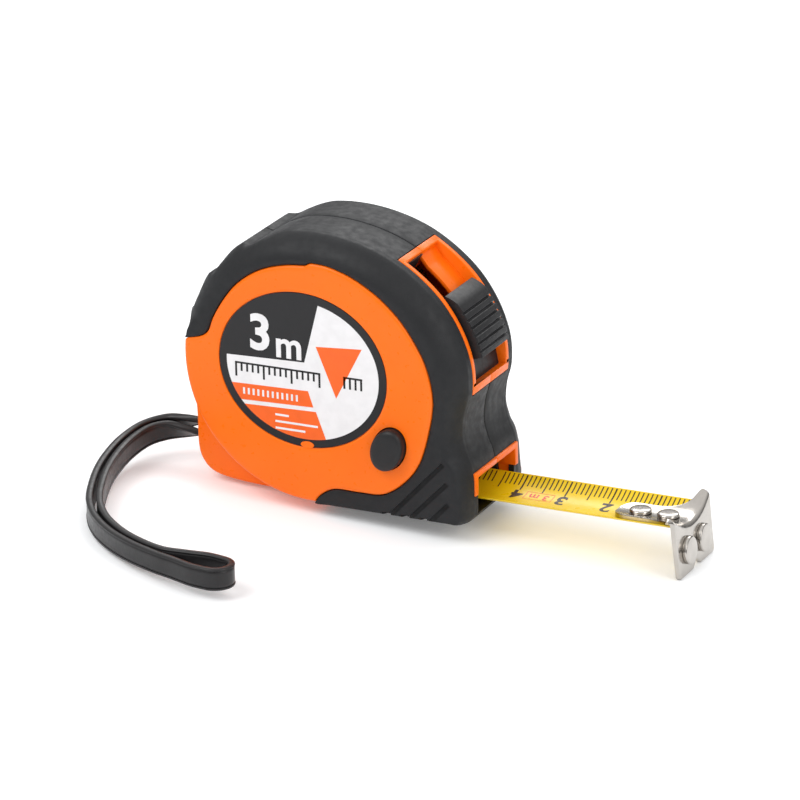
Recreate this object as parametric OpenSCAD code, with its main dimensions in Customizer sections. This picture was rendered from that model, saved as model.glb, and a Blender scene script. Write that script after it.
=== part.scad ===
// Pocket tape measure, 3 m, blade 16 mm wide, with lock, pause button and wrist strap.
// Millimetres. +X is the way the blade pulls out, -Y is the label side, +Z is up.
// The origin is on the base, straight below the spool's axis.

/* [Case] */
// Half the case's thickness, over the orange side faces
face_y = 15.5; // [14.5:0.5:17]
// Half the width of the flat rim, where the shoulders start
rim_y = 10.5; // [10:0.5:11]
// Half the width of the block at the lower back corner
heel_y = 9; // [8:0.5:10]
// Height of the spool's axis over the base
axis_z = 29.8; // [29:0.1:30.5]
// Rubber thickness over the shells
grip_t = 1.2; // [1:0.1:1.4]
// Rubber and shell together at the rim
rim_wall = 3.2; // [3:0.1:3.6]
// Half the width of the room inside the case
room_y = 10.2; // [9.8:0.1:10.4]
// Radius of the round side face
face_r = 28.3; // [28:0.1:28.6]

/* [Blade] */
// Straight width across the curved blade
blade_w = 15.6; // [15:0.1:16]
// Radius of the blade's curve across its width
cup_r = 14.5; // [13.5:0.5:18]
// Blade thickness as modelled
blade_t = 0.2; // [0.15:0.05:0.3]
// Height of the blade's underside at its middle
blade_z = 2.5; // [2.4:0.1:2.8]
// Where the rigid front stretch begins, inside the mouth
blade_x0 = 34; // [33:0.5:35]
// Where the blade ends, just short of the hook's turned-down face
blade_x1 = 78.9; // [78:0.1:80]
// Outer radius of the wound blade
coil_r = 18.6; // [18:0.1:19]
// Radius of the spool drum
drum_r = 13.9; // [13:0.1:14.5]
// Radius of the spool's flanges
flange_r = 22; // [21.5:0.1:22.2]

/* [Hook] */
// Width of the hook's turned-down face
hook_w = 19; // [18:0.5:20]
// Lowest point of the hook, under the base
hook_z = -6; // [-7:0.5:-4]
// Inner face of the hook's turned-down part
hook_x = 79.4; // [79:0.1:80]
// Hook plate thickness
hook_t = 0.9; // [0.7:0.1:1]
// Magnet diameter
magnet_d = 5.8; // [5:0.1:6]
// Magnet spacing across the hook
magnet_pitch = 7.6; // [7:0.1:8.4]

/* [Buttons] */
// Half the width of the lock button
lock_y = 6.9; // [6:0.1:7]
// Lower edge of the lock button, as an angle about its guide's centre
lock_a0 = 20; // [18:1:22]
// Upper edge of the lock button
lock_a1 = 43; // [40:1:44]
// How far the pause button stands out of the face
pause_out = 2.4; // [2:0.1:3]

/* [Strap and clip] */
// Width of the strap band
strap_w = 4.8; // [4:0.2:5.4]
// Thickness of the doubled strap as one solid
strap_t = 3.6; // [3.4:0.1:4]
// Belt clip width
clip_w = 16; // [14:1:20]

/* [Hidden] */
$fn = 64;
orange = [0.95, 0.42, 0.08];
black = [0.18, 0.18, 0.19];
yellow = [0.92, 0.76, 0.1];
steel = [0.72, 0.71, 0.69];
lock_c = [2.2, 23.3];
pause_c = [19.4, 15.6];
pin_c = [-24.6, 8.3];
pin_r = 1.4;
screw_r = 1.1;
screw_c = [[12, 52.2], [-18, 47.6], [-17.2, 12.8], [30.2, 14.2]];
channel_z = 1.7;
clip_c = [0, 44];
mouth_x = 36.3;
mouth_y = 9;
mouth_top = 9.6;

// ---- helpers ----

function polar(c, r, a) = [c[0] + r * cos(a), c[1] + r * sin(a)];

function arc(c, r, a0, a1, n) = [for (i = [0:n]) polar(c, r, a0 + (a1 - a0) * i / n)];

function reversed(p) = [for (i = [len(p) - 1:-1:0]) p[i]];

// Flat band between two radii and two angles
function band(c, r0, r1, a0, a1, n) = concat(arc(c, r1, a0, a1, n), reversed(arc(c, r0, a0, a1, n)));

// Oval with its long axis turned
function oval(c, a, b, turn, n) = [for (i = [0:n - 1]) let (t = 360 * i / n)
    [c[0] + a * cos(t) * cos(turn) - b * sin(t) * sin(turn),
     c[1] + a * cos(t) * sin(turn) + b * sin(t) * cos(turn)]];

// Smooth curve through points, n steps between neighbours
function through(p, n) = [for (i = [0:len(p) - 2]) for (k = [0:n - 1]) let (
    a = p[max(i - 1, 0)], b = p[i], c = p[i + 1], d = p[min(i + 2, len(p) - 1)], t = k / n)
    0.5 * ((2 * b) + (c - a) * t + (2 * a - 5 * b + 4 * c - d) * t * t
    + (3 * b - a - 3 * c + d) * t * t * t)];

function unit(v) = v / norm(v);

// Outward step at one corner of a polygon that runs anticlockwise, as long as keeps both its sides
// one millimetre away
function outward(p, i) = let (n = len(p), a = unit(p[i] - p[(i + n - 1) % n]), b = unit(p[(i + 1) % n] - p[i]),
    m = unit([a[1] + b[1], -a[0] - b[0]])) m / (m[0] * a[1] - m[1] * a[0]);

// Everything in 2D is drawn as x and z, then given its span in y
module slab(y0, y1) {
    translate([0, y1, 0]) rotate([90, 0, 0]) linear_extrude(y1 - y0) children();
}

module rod(c, r, y0, y1) {
    slab(y0, y1) translate(c) circle(r);
}

module block(lo, hi) {
    translate(lo) cube(hi - lo);
}

// ---- case outline ----

curve = through([[36.2, 9.4], [35.7, 12.4], [34.5, 15.4], [33.7, 19], [34.1, 23.4], [35.2, 28], [34.9, 34],
    [32.6, 40.4], [28.7, 46.3], [23.6, 51], [17.4, 54.8], [10.4, 57.2], [2.6, 58.3], [-5.2, 57.8],
    [-12.6, 55.4], [-19, 51.2], [-24, 45.4], [-27.4, 38.4], [-28.9, 30.8], [-28.8, 22], [-28.2, 14],
    [-28.1, 7.5]], 4);
rim = concat([[-8, 0], [13, 0], [33.8, 0], [36.2, 2.4]], curve,
    [[-28.1, 7.5], [-27, 4], [-24.2, 1.6], [-14, 0.3]]);

// The rubber covers the case above and in front of this corner; behind and below it the shell is bare
bare_x = 2.2;
bare_z = 33.3;
face_c = [1.7, 30.2];

// The shoulders are full over the top, and small along the bottom edge
shoulder = 4.4;

function share(p) = p[0] > 5 ? 0.25 + 0.75 * min(1, max(0, p[1] / 25))
    : min(1, 0.5 + 0.5 * max(0, p[1] - 33) / 12);

function pulled_in(d, extra) = [for (i = [0:len(rim) - 1])
    rim[i] - outward(rim, i) * (d * share(rim[i]) + extra)];

function ring(y, p) = [for (q = p) [q[0], y, q[1]]];

// Side faces between rings of n points each, m rings in all
function skin(n, m) = [for (k = [0:m - 2]) for (i = [0:n - 1]) for (h = [0:1]) let (j = (i + 1) % n)
    h == 0 ? [k * n + i, (k + 1) * n + i, (k + 1) * n + j] : [k * n + i, (k + 1) * n + j, k * n + j]];

// Solid from rings of equal length
module loft(rings) {
    n = len(rings[0]);
    m = len(rings);
    ends = [[for (i = [0:n - 1]) i], [for (i = [n - 1:-1:0]) (m - 1) * n + i]];
    polyhedron([for (r = rings) for (p = r) p], concat(skin(n, m), ends), 4);
}

// The same for wide rings, with both ends closed round a middle point
module loft_round(rings, mid) {
    n = len(rings[0]);
    m = len(rings);
    ends = [for (i = [0:n - 1]) each [[m * n, i, (i + 1) % n],
        [m * n + 1, (m - 1) * n + (i + 1) % n, (m - 1) * n + i]]];
    polyhedron(concat([for (r = rings) for (p = r) p],
        [[mid[0], rings[0][0][1], mid[1]], [mid[0], rings[m - 1][0][1], mid[1]]]),
        concat(skin(n, m), ends), 4);
}

module bare_zone() {
    translate([-45, -5]) square([45 + bare_x, 5 + bare_z]);
}

module rubber_zone() {
    polygon([[-45, bare_z], [bare_x, bare_z], [bare_x, -5], [45, -5], [45, 70], [-45, 70]]);
}

// Orange part of the side face inside the rubber
module face_area() {
    polygon(concat([[bare_x, bare_z]], through([[2.2, 1.6], [3.6, 3.2], [6.8, 4.8], [12.4, 4.9],
        [17.8, 5.3], [22.4, 8.4], [25.9, 13], [28.1, 19.8], [29.2, 27], [27.8, 34], [25, 39.4],
        [21.4, 44.1], [16.6, 48.2], [11.2, 51.2], [6.2, 52.8], [2.2, 53.1]], 5),
        [[2.2, 53.1]], through([[1, 52.4], [-3, 52], [-7.4, 50.9], [-11.4, 49], [-15.2, 46],
        [-18.2, 42.2], [-20.4, 38.4], [-21.6, 35.4], [-23.4, 34], [-26.2, bare_z]], 5),
        [[-26.2, bare_z]]));
}

// The part of the outer shape that belongs to the orange shell, still solid
module shell_half() {
    slab(-rim_y, 0) intersection() {
        polygon(pulled_in(0, grip_t));
        rubber_zone();
    }
    slab(-14.2, -rim_y) intersection() {
        polygon(pulled_in(shoulder, grip_t));
        rubber_zone();
    }
    slab(-face_y, -14.2) face_area();
    slab(-heel_y, 0) intersection() {
        polygon(rim);
        bare_zone();
    }
    slab(-face_y, -heel_y) intersection() {
        translate(face_c) circle(face_r, $fn = 96);
        bare_zone();
    }
}

// Frame round the lock's window, and the inverted U at the mouth
module frames_half() {
    slab(-8.7, -7.4) polygon(band(lock_c, 30, 34.2, 6.5, 61.5, 20));
    slab(-7.4, 0) polygon(band(lock_c, 30, 34.2, 59, 61.5, 2));
    slab(-7.4, 0) polygon(band(lock_c, 30, 34.2, 6.5, 9.5, 2));
    block([32, -10.5, 6], [mouth_x, -mouth_y, mouth_top + 1.2]);
    block([32, -mouth_y, mouth_top], [mouth_x, 0, mouth_top + 1.2]);
}

module window_cut_half() {
    slab(-7.4, 1) polygon(band(lock_c, 28.4, 40, 9.5, 59, 14));
}

room = concat([[-14, 2.6], [28, 2.6], [30.4, 4.4]], [for (q = pulled_in(0, rim_wall)) if (q[1] > 11) q],
    [[-24.8, 9.6], [-24.2, 6.8], [-22.4, 4.6], [-19.6, 3.3]]);

module wide_room() {
    translate(face_c) circle(face_r - 2, $fn = 96);
    translate([-45, 35.3]) square([90, 40]);
    translate([4.4, 0]) square([45, 45]);
}

// Space inside, round the screw posts
module room_half() {
    difference() {
        union() {
            slab(-heel_y + 1.6, 1) polygon(room);
            slab(-room_y, -heel_y + 1.6) intersection() {
                polygon(room);
                wide_room();
            }
        }
        for (c = screw_c) rod(c, 2, -12, 2);
    }
    difference() {
        rod([0, axis_z], 18.4, -13.4, -room_y + 1);
        rod([0, axis_z], 5, -14, 0);
    }
    block([-16, -8.8, channel_z], [32, 1, 8]);
    block([26, -mouth_y, channel_z], [40, 1, mouth_top]);
}

// Pocket that keeps the strap's end out of the spool's room
module strap_pocket_half() {
    block([-26, -5.8, 3.8], [-20, 0, 13]);
}

module pause_hole() {
    slab(-face_y - 1, -12) polygon(oval(pause_c, 4.9, 3.7, 68, 40));
    rod(pause_c, 1.7, -13, -9);
    rod(pause_c, 3.4, -11.3, -9);
}

module strap_slot() {
    block([-30, -3.4, 5.4], [-21.4, 3.4, 11.2]);
}

// ---- case ----

module case_half() {
    difference() {
        union() {
            difference() {
                union() {
                    shell_half();
                    frames_half();
                }
                room_half();
            }
            strap_pocket_half();
        }
        window_cut_half();
        strap_slot();
        rod(pin_c, pin_r, -5.4, 5.4);
        rod([0, axis_z], 2.5, -13, 13);
    }
}

module grip_half() {
    difference() {
        loft_round([ring(0, rim), ring(-rim_y, rim), ring(-12.4, pulled_in(0.9, 0)),
            ring(-14, pulled_in(2.3, 0)), ring(-15.2, pulled_in(shoulder, 0))], [2, 28]);
        slab(-17, 1) bare_zone();
        slab(-rim_y, 1) polygon(pulled_in(0, grip_t));
        slab(-14.2, -rim_y) polygon(pulled_in(shoulder, grip_t));
        slab(-17, -14.2) face_area();
        slab(-8.8, 1) polygon(band(lock_c, 28, 40, 6.3, 61.7, 20));
        block([31, -10.6, 5.9], [40, 1, mouth_top + 1.3]);
        block([31, -mouth_y, channel_z], [40, 1, 6]);
    }
}

module case_left() {
    color(orange) difference() {
        case_half();
        slab(-face_y - 1, -face_y + 0.4) polygon(oval([0, 29.85], 19.2, 16.8, -5, 72));
        pause_hole();
        for (c = screw_c) rod(c, screw_r, -9.4, 1);
    }
}

module case_right() {
    color(orange) {
        difference() {
            mirror([0, 1, 0]) case_half();
            for (c = screw_c) rod(c, screw_r, -1, 20);
            for (c = screw_c) rod(c, 2.1, 11.6, 20);
            rod(clip_c, 1.5, 11, 20);
        }
        slab(0, 7.4) polygon(band(lock_c, 30.6, 32, 9.5, 59, 12));
    }
}

module grip_left() {
    color(black) grip_half();
}

module grip_right() {
    color(black) difference() {
        mirror([0, 1, 0]) grip_half();
        for (c = screw_c) rod(c, 2.1, 9, 20);
    }
}

module side_label() {
    color([0.9, 0.9, 0.9]) slab(-face_y + 0.1, -face_y + 0.4) polygon(oval([0, 29.85], 19, 16.6, -5, 72));
}

module case_screws() {
    color(steel) for (c = screw_c) {
        rod(c, screw_r, -9.4, 11.6);
        difference() {
            rod(c, 2.1, 11.6, 12.9);
            slab(12.3, 14) translate(c) square([2.6, 0.6], center = true);
            slab(12.3, 14) translate(c) square([0.6, 2.6], center = true);
        }
    }
}

// ---- spool ----

module spool_post() {
    color(steel) {
        rod([0, axis_z], 2.5, -12.8, 12.8);
        rod([0, axis_z], 3.2, -room_y, -9.2);
    }
}

// Spiral strip between the post and the drum
module power_spring() {
    turns = 9;
    steps = turns * 20;
    inner = [for (i = [0:steps]) polar([0, axis_z], 2.6 + 9.8 * i / steps, 18 * i)];
    outer = [for (i = [0:steps]) polar([0, axis_z], 3 + 9.8 * i / steps, 18 * i)];
    color([0.45, 0.46, 0.5]) slab(-6.6, 6.6) polygon(concat(outer, reversed(inner)));
}

module spool() {
    color([0.93, 0.92, 0.88]) difference() {
        union() {
            rod([0, axis_z], drum_r, -8.2, 7.6);
            rod([0, axis_z], flange_r, -9, -8.2);
        }
        rod([0, axis_z], drum_r - 1, -7.4, 8);
        rod([0, axis_z], 2.56, -10, 0);
        for (a = [0:60:300]) rod(polar([0, axis_z], 17.8, a), 2, -10, 0);
    }
}

module spool_cover() {
    color([0.93, 0.92, 0.88]) difference() {
        union() {
            rod([0, axis_z], flange_r, 8.2, 9);
            rod([0, axis_z], drum_r, 7.6, 8.2);
        }
        rod([0, axis_z], 2.56, 0, 10);
        for (a = [30:60:330]) rod(polar([0, axis_z], 17.8, a), 2, 0, 10);
    }
}

module blade_coil() {
    color(yellow) difference() {
        rod([0, axis_z], coil_r, -7.8, 7.8);
        rod([0, axis_z], drum_r, -8, 8);
    }
}

// ---- blade ----

// Points across a curved strip, from one edge to the other: half its width, radius, height at its middle
function across(half, r, z, n) = let (h = asin(half / r)) [for (i = [0:n])
    let (a = -h + 2 * h * i / n) [r * sin(a), z + r - r * cos(a)]];

rivet_x = [68.4, 74.5];

module blade() {
    under = across(blade_w / 2, cup_r, blade_z, 12);
    over = across(blade_w / 2, cup_r - blade_t, blade_z + blade_t, 12);
    color(yellow) difference() {
        translate([blade_x0, 0, 0]) rotate([90, 0, 90]) linear_extrude(blade_x1 - blade_x0)
            polygon(concat(under, reversed(over)));
        for (x = rivet_x) translate([x, 0, 0]) cylinder(h = 9, r = 1.2);
    }
}

// Feed from the coil to the mouth: x, height of the middle, radius of its curve
feed_line = [[-7.4, 12.2, 200], [-2, 10.3, 90], [4, 7.8, 50], [10, 5.2, 32], [15, 3.4, 24],
    [19, 2.6, 18], [23, 2.5, 15.5], [28, 2.5, 14.5], [34, 2.5, 14.5]];

module blade_feed() {
    n = 8;
    rings = [for (f = feed_line) let (u = across(blade_w / 2, f[2], f[1], n),
        o = across(blade_w / 2, f[2], f[1] + blade_t, n))
        concat([for (p = u) [f[0], p[0], p[1]]], [for (p = reversed(o)) [f[0], p[0], p[1]]])];
    color(yellow) loft(rings);
}

module blade_rivets() {
    color(steel) for (x = rivet_x) translate([x, 0, 0]) {
        translate([0, 0, blade_z - 0.4]) cylinder(h = 0.4, r = 2.2);
        translate([0, 0, blade_z]) cylinder(h = 1.5, r = 1.2);
        translate([0, 0, blade_z + 1.45]) cylinder(h = 0.7, r = 2.3);
    }
}

// ---- hook ----

hook_under = across(hook_w / 2, cup_r, blade_z + blade_t + 0.1, 16);
hook_over = across(hook_w / 2, cup_r, blade_z + blade_t + 0.1 + hook_t, 16);

// Spoon plate over the blade's end, curved like the blade
module hook_tongue() {
    difference() {
        intersection() {
            translate([60, 0, 0]) rotate([90, 0, 90]) linear_extrude(hook_x + hook_t - 60)
                polygon(concat(hook_under, reversed(hook_over)));
            linear_extrude(20) polygon([[63.3, -1.6], [64.2, -3], [66, -3.7], [71, -3.7], [74, -4.4],
                [76.4, -6.4], [77.8, -8.6], [78.6, -9.5], [81, -9.5], [81, 9.5], [78.6, 9.5], [77.8, 8.6],
                [76.4, 6.4], [74, 4.4], [71, 3.7], [66, 3.7], [64.2, 3], [63.3, 1.6]]);
        }
        for (x = rivet_x) translate([x - 0.5, 0, 0]) linear_extrude(9)
            polygon(concat(arc([0, 0], 1.3, 90, 270, 12), arc([1, 0], 1.3, -90, 90, 12)));
    }
}

module end_hook() {
    color(steel) {
        hook_tongue();
        difference() {
            translate([hook_x, 0, 0]) rotate([90, 0, 90]) linear_extrude(hook_t) polygon(concat(
                [[-9.4, hook_z + 0.4], [-9, hook_z], [-2, hook_z], [0, hook_z + 1.6], [2, hook_z],
                [9, hook_z], [9.4, hook_z + 0.4]], reversed(hook_over)));
            for (s = [-1, 1]) translate([79, s * magnet_pitch / 2, -1.2]) rotate([0, 90, 0])
                cylinder(h = 3, d = magnet_d - 1.6);
            // Relief under the blade, so the catching face ends below it
            block([hook_x - 1, -12, 1.5], [hook_x + 0.2, 12, 2.9]);
        }
    }
}

module hook_magnets() {
    color([0.8, 0.8, 0.78]) for (s = [-1, 1]) translate([0, s * magnet_pitch / 2, -1.2]) rotate([0, 90, 0]) {
        translate([0, 0, hook_x]) cylinder(h = hook_t, d = magnet_d - 1.6);
        translate([0, 0, hook_x + hook_t]) cylinder(h = 1, d = magnet_d);
    }
}

// ---- lock ----

// Top of the lock button: five grooves across its lower half
lock_top = concat([polar(lock_c, 36.4, lock_a0)], [for (k = [0:4]) let (a = 24 + 3 * k)
    each [polar(lock_c, 36.4, a - 0.6), polar(lock_c, 35.9, a - 0.3), polar(lock_c, 35.9, a + 0.3),
    polar(lock_c, 36.4, a + 0.6)]], arc(lock_c, 36.4, 38.5, lock_a1, 3));

module lock_button() {
    color(black) {
        slab(-lock_y, lock_y) polygon(concat(lock_top, arc(lock_c, 33, lock_a1, lock_a0, 12)));
        slab(-6.8, -1) polygon(band(lock_c, 28, 34, 27, 36, 4));
    }
}

module lock_arm() {
    color([0.25, 0.25, 0.27]) {
        slab(-6.8, 6.8) polygon(band(lock_c, 26.2, 28, -6, 40, 14));
        slab(-6.8, 6.8) polygon(band(lock_c, 24.6, 26.6, -42, 4, 14));
    }
}

module lock_pad() {
    color(black) slab(-3, 3) polygon(band(lock_c, 24.6, 26.9, -48, -42, 4));
}

// ---- pause button ----

module pause_button() {
    color(black) {
        slab(-face_y - pause_out, -14.6) polygon(oval(pause_c, 4.7, 3.5, 68, 40));
        rod(pause_c, 1.6, -14.6, -11.2);
    }
}

module pause_spring() {
    color(steel) difference() {
        rod(pause_c, 2.8, -14.6, -12);
        rod(pause_c, 2.3, -15, -11);
    }
}

module pause_pad() {
    color([0.3, 0.3, 0.3]) rod(pause_c, 3.2, -11.2, -10.6);
}

module mouth_bumper() {
    color(black) block([29, -8.8, 8.2], [31.6, 8.8, mouth_top]);
}

// ---- strap and clip ----

module strap_pin() {
    color(steel) rod(pin_c, pin_r, -5.4, 5.4);
}

// Strap route: x, y, z of the middle, how far the band has turned to stand on edge, and thickness
strap_line = [[-22.6, 0, 8.3, 0, 4.6], [-26.4, 0, 8.3, 0, 4.8], [-30, -0.5, 8.2, 12, 4.4],
    [-34.4, -1.4, 8, 40, 3.8], [-38.6, -2.8, 7.6, 68, strap_t], [-41.8, -6.4, 6.9, 82, strap_t],
    [-43, -12.4, 6, 88, strap_t], [-42.6, -19, 5.3, 90, strap_t], [-41.2, -26.2, 4.6, 90, strap_t],
    [-38.6, -33.8, 4, 90, strap_t], [-35.4, -40.8, 3.4, 90, strap_t], [-31, -46.8, 3, 90, strap_t],
    [-25.2, -52, 2.8, 90, strap_t], [-18.6, -56.2, 2.8, 90, strap_t], [-11.4, -59.2, 2.8, 90, strap_t + 0.4],
    [-5.6, -60.1, 2.8, 90, 6], [-1, -60.7, 2.8, 90, 8], [2.6, -61.3, 2.8, 90, 8], [5.4, -61.8, 2.8, 90, 5]];

function strap_ring(i) = let (
    s = strap_line[i],
    a = strap_line[max(i - 1, 0)],
    b = strap_line[min(i + 1, len(strap_line) - 1)],
    t = unit([b[0] - a[0], b[1] - a[1], 0]),
    side = [-t[1], t[0], 0],
    w = side * cos(s[3]) + [0, 0, 1] * sin(s[3]),
    n = side * sin(s[3]) - [0, 0, 1] * cos(s[3]),
    c = [s[0], s[1], s[2]],
    hw = strap_w / 2,
    ht = s[4] / 2)
    [for (k = [[1, 0.6], [0.8, 1], [-0.8, 1], [-1, 0.6], [-1, -0.6], [-0.8, -1], [0.8, -1], [1, -0.6]])
        c + w * hw * k[0] + n * ht * k[1]];

module wrist_strap() {
    color(black) loft([for (i = [0:len(strap_line) - 1]) strap_ring(i)]);
}

module belt_clip() {
    h = clip_w / 2;
    color(steel) difference() {
        translate([-h, 0, 0]) rotate([90, 0, 90]) linear_extrude(clip_w) polygon(concat(
            [[face_y, 38], [face_y, 49]], arc([face_y + 3, 49], 3, 180, 0, 12),
            [[face_y + 6, 22], [face_y + 4.4, 15], [face_y + 6.2, 10.4], [face_y + 5.4, 10], [face_y + 3.4, 15],
            [face_y + 5, 22]], arc([face_y + 3, 49], 2, 0, 180, 12), [[face_y + 1, 38]]));
        rod(clip_c, 1.5, 15, 17);
        rod(clip_c, 3.2, 18, 24);
    }
}

module belt_clip_screw() {
    color(steel) {
        rod(clip_c, 1.5, 11, face_y + 1);
        difference() {
            rod(clip_c, 2.8, face_y + 1, face_y + 2.4);
            slab(face_y + 1.8, 22) translate(clip_c) square([3.6, 0.7], center = true);
            slab(face_y + 1.8, 22) translate(clip_c) square([0.7, 3.6], center = true);
        }
    }
}

case_left();
case_right();
grip_left();
grip_right();
side_label();
case_screws();
spool_post();
power_spring();
spool();
spool_cover();
blade_coil();
blade_feed();
blade();
blade_rivets();
end_hook();
hook_magnets();
lock_button();
lock_arm();
lock_pad();
pause_button();
pause_spring();
pause_pad();
mouth_bumper();
strap_pin();
wrist_strap();
belt_clip();
belt_clip_screw();
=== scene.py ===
"""Pocket tape measure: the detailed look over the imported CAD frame.

Sizes are in millimetres and are scaled to metres where a mesh is made.
"""

import math

import bmesh
import bpy
import numpy as np
from mathutils import Matrix, Vector


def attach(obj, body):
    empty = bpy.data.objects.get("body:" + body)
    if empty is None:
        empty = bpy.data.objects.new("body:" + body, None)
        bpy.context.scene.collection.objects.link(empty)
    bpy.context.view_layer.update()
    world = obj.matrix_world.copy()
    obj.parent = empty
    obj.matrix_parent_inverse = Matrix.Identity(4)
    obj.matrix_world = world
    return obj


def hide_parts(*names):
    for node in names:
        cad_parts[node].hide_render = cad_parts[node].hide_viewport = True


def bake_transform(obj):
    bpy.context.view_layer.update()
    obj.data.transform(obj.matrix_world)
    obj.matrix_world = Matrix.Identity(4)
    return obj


MM = 0.001
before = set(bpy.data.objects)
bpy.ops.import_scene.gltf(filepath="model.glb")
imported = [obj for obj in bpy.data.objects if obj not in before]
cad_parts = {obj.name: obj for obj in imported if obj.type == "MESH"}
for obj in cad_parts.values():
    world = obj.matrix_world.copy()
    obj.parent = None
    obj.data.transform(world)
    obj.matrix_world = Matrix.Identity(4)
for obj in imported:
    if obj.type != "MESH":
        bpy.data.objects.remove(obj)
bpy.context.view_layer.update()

# ---------------------------------------------------------------- sizes, in mm

# Case. A pair is x and z; the outlines below are drawn as radii about CENTRE
CENTRE = (1.5, 28.0)
SHOULDER, GRIP_T, SHELL_T = 4.4, 1.2, 1.8
FACE_C, FACE_R = (1.7, 30.2), 28.8
BARE = (169.3, 271.4)  # angles between which the shell has no rubber
RUBBER_RANGE = (BARE[1] - 360, BARE[0])
SCREWS = [(12, 52.2), (-18, 47.6), (-17.2, 12.8), (30.2, 14.2)]
LABEL_C, LABEL_AB, LABEL_TURN = (0.0, 29.85), (19.0, 16.6), -5.0
LABEL_BACK = -15.2  # y that every printed layer reaches in to

# Lock: its guide's centre, the window's half width and end angles, and the button's radii and end angles
LOCK_C = (2.2, 23.3)
WINDOW_HALF, WINDOW = 7.4, (9.5, 59.0)
FRAME_HALF, FRAME_R, FRAME = 8.7, 29.6, (6.5, 61.5)
LOCK_R, LOCK_SPAN = (33.0, 36.5), (18.4, 42.0)

PAUSE_C, PAUSE_AB, PAUSE_TURN = (19.4, 15.6), (4.7, 3.5), 68.0

# Mouth, blade and hook
MOUTH_HALF, MOUTH_TOP = 9.0, 9.6
BLADE_W, CUP_R, BLADE_T, BLADE_Z = 15.6, 14.5, 0.2, 2.5
BLADE_X0, BLADE_X1 = 34.0, 78.9
BLADE_CHANNEL = ((-8.6, -8.1, 1.75), (34, 8.1, 6.4))
INK_LIFT, INK_T = 0.02, 0.06
ZERO_X = 80.0
HOOK_X, HOOK_T, HOOK_Z, HOOK_HALF = 79.4, 0.9, -6.0, 9.4
HOOK_GAP, HOOK_BEND = 0.14, 0.95
RIVET_X = (68.4, 74.5)
MAGNET_Y, MAGNET_Z = 3.8, -1.2

# Strap, its pin and the opening it leaves by
STRAP_W, STRAP_T = 4.8, 1.5
PIN, PIN_BEND = (-24.6, 8.3), 2.15
STRAP_SLOT = ((-31, -3.4, 5.4), (-22, 3.4, 11.2))

# Camera: azimuth, elevation and roll in degrees, then distance, the point it looks at, and its lens
CAMERA_TURN = (25.77, 20.22, -1.01)
CAMERA_AWAY, CAMERA_AT, CAMERA_LENS = 1124.5, (14.6, 0, 20.27), 245.7

RIM_CURVE = [(36.2, 9.4), (35.7, 12.4), (34.5, 15.4), (33.7, 19), (34.1, 23.4), (35.2, 28), (34.9, 34),
             (32.6, 40.4), (28.7, 46.3), (23.6, 51), (17.4, 54.8), (10.4, 57.2), (2.6, 58.3),
             (-5.2, 57.8), (-12.6, 55.4), (-19, 51.2), (-24, 45.4), (-27.4, 38.4), (-28.9, 30.8),
             (-28.8, 22), (-28.2, 14), (-28.1, 7.5), (-27, 4), (-24.2, 1.6), (-18, 0.5), (-8, 0)]
FACE_FRONT = [(2.2, 1.6), (3.6, 3.2), (6.8, 4.8), (12.4, 4.9), (17.8, 5.3), (22.4, 8.4), (25.9, 13),
              (28.1, 19.8), (29.2, 27), (27.8, 34), (25, 39.4), (21.4, 44.1), (16.6, 48.2),
              (11.2, 51.2), (6.2, 52.8), (2.2, 53.1)]
FACE_BACK = [(1, 52.4), (-3, 52), (-7.4, 50.9), (-11.4, 49), (-15.2, 46), (-18.2, 42.2),
             (-20.4, 38.4), (-21.6, 35.4), (-23.4, 34), (-26.4, 33.3)]

# Strap route: x, y, z of the middle, turn of the band to stand on edge, full thickness
STRAP_LINE = [(-22.6, 0, 8.3, 0, 4.6), (-26.4, 0, 8.3, 0, 4.8), (-30, -0.5, 8.2, 12, 4.4),
              (-34.4, -1.4, 8, 40, 3.8), (-38.6, -2.8, 7.6, 68, 3.6), (-41.8, -6.4, 6.9, 82, 3.6),
              (-43, -12.4, 6, 88, 3.6),
              (-42.6, -19, 5.3, 90, 3.6), (-41.2, -26.2, 4.6, 90, 3.6), (-38.6, -33.8, 4, 90, 3.6),
              (-35.4, -40.8, 3.4, 90, 3.6), (-31, -46.8, 3, 90, 3.6), (-25.2, -52, 2.8, 90, 3.6),
              (-18.6, -56.2, 2.8, 90, 3.6), (-11.4, -59.2, 2.8, 90, 4), (-5.6, -60.1, 2.8, 90, 6),
              (-1, -60.7, 2.8, 90, 8), (2.6, -61.3, 2.8, 90, 8)]

# ---------------------------------------------------------------- small helpers


def through(points, n):
    """Smooth curve through points of any dimension, n steps between neighbours, last point included."""
    p = np.array(points, float)
    out = []
    for i in range(len(p) - 1):
        a, b, c, d = p[max(i - 1, 0)], p[i], p[i + 1], p[min(i + 2, len(p) - 1)]
        for t in np.arange(n) / n:
            out.append(0.5 * (2 * b + (c - a) * t + (2 * a - 5 * b + 4 * c - d) * t ** 2
                              + (3 * b - a - 3 * c + d) * t ** 3))
    out.append(p[-1])
    return np.array(out)


def arc(c, r, a0, a1, n):
    """Points of a circular arc from angle a0 to a1, in degrees."""
    a = np.radians(np.linspace(a0, a1, n + 1))
    return np.stack([c[0] + r * np.cos(a), c[1] + r * np.sin(a)], 1)


def band(c, r0, r1, a0, a1, n):
    """Outline of a curved band between two radii."""
    return np.concatenate([arc(c, r1, a0, a1, n), arc(c, r0, a1, a0, n)])


def oval(c, ab, turn, n):
    """Outline of an oval with half axes ab, turned by turn degrees."""
    t = np.linspace(0, 2 * math.pi, n, endpoint=False)
    u, v, k = ab[0] * np.cos(t), ab[1] * np.sin(t), math.radians(turn)
    return np.stack([c[0] + u * math.cos(k) - v * math.sin(k), c[1] + u * math.sin(k) + v * math.cos(k)], 1)


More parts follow.
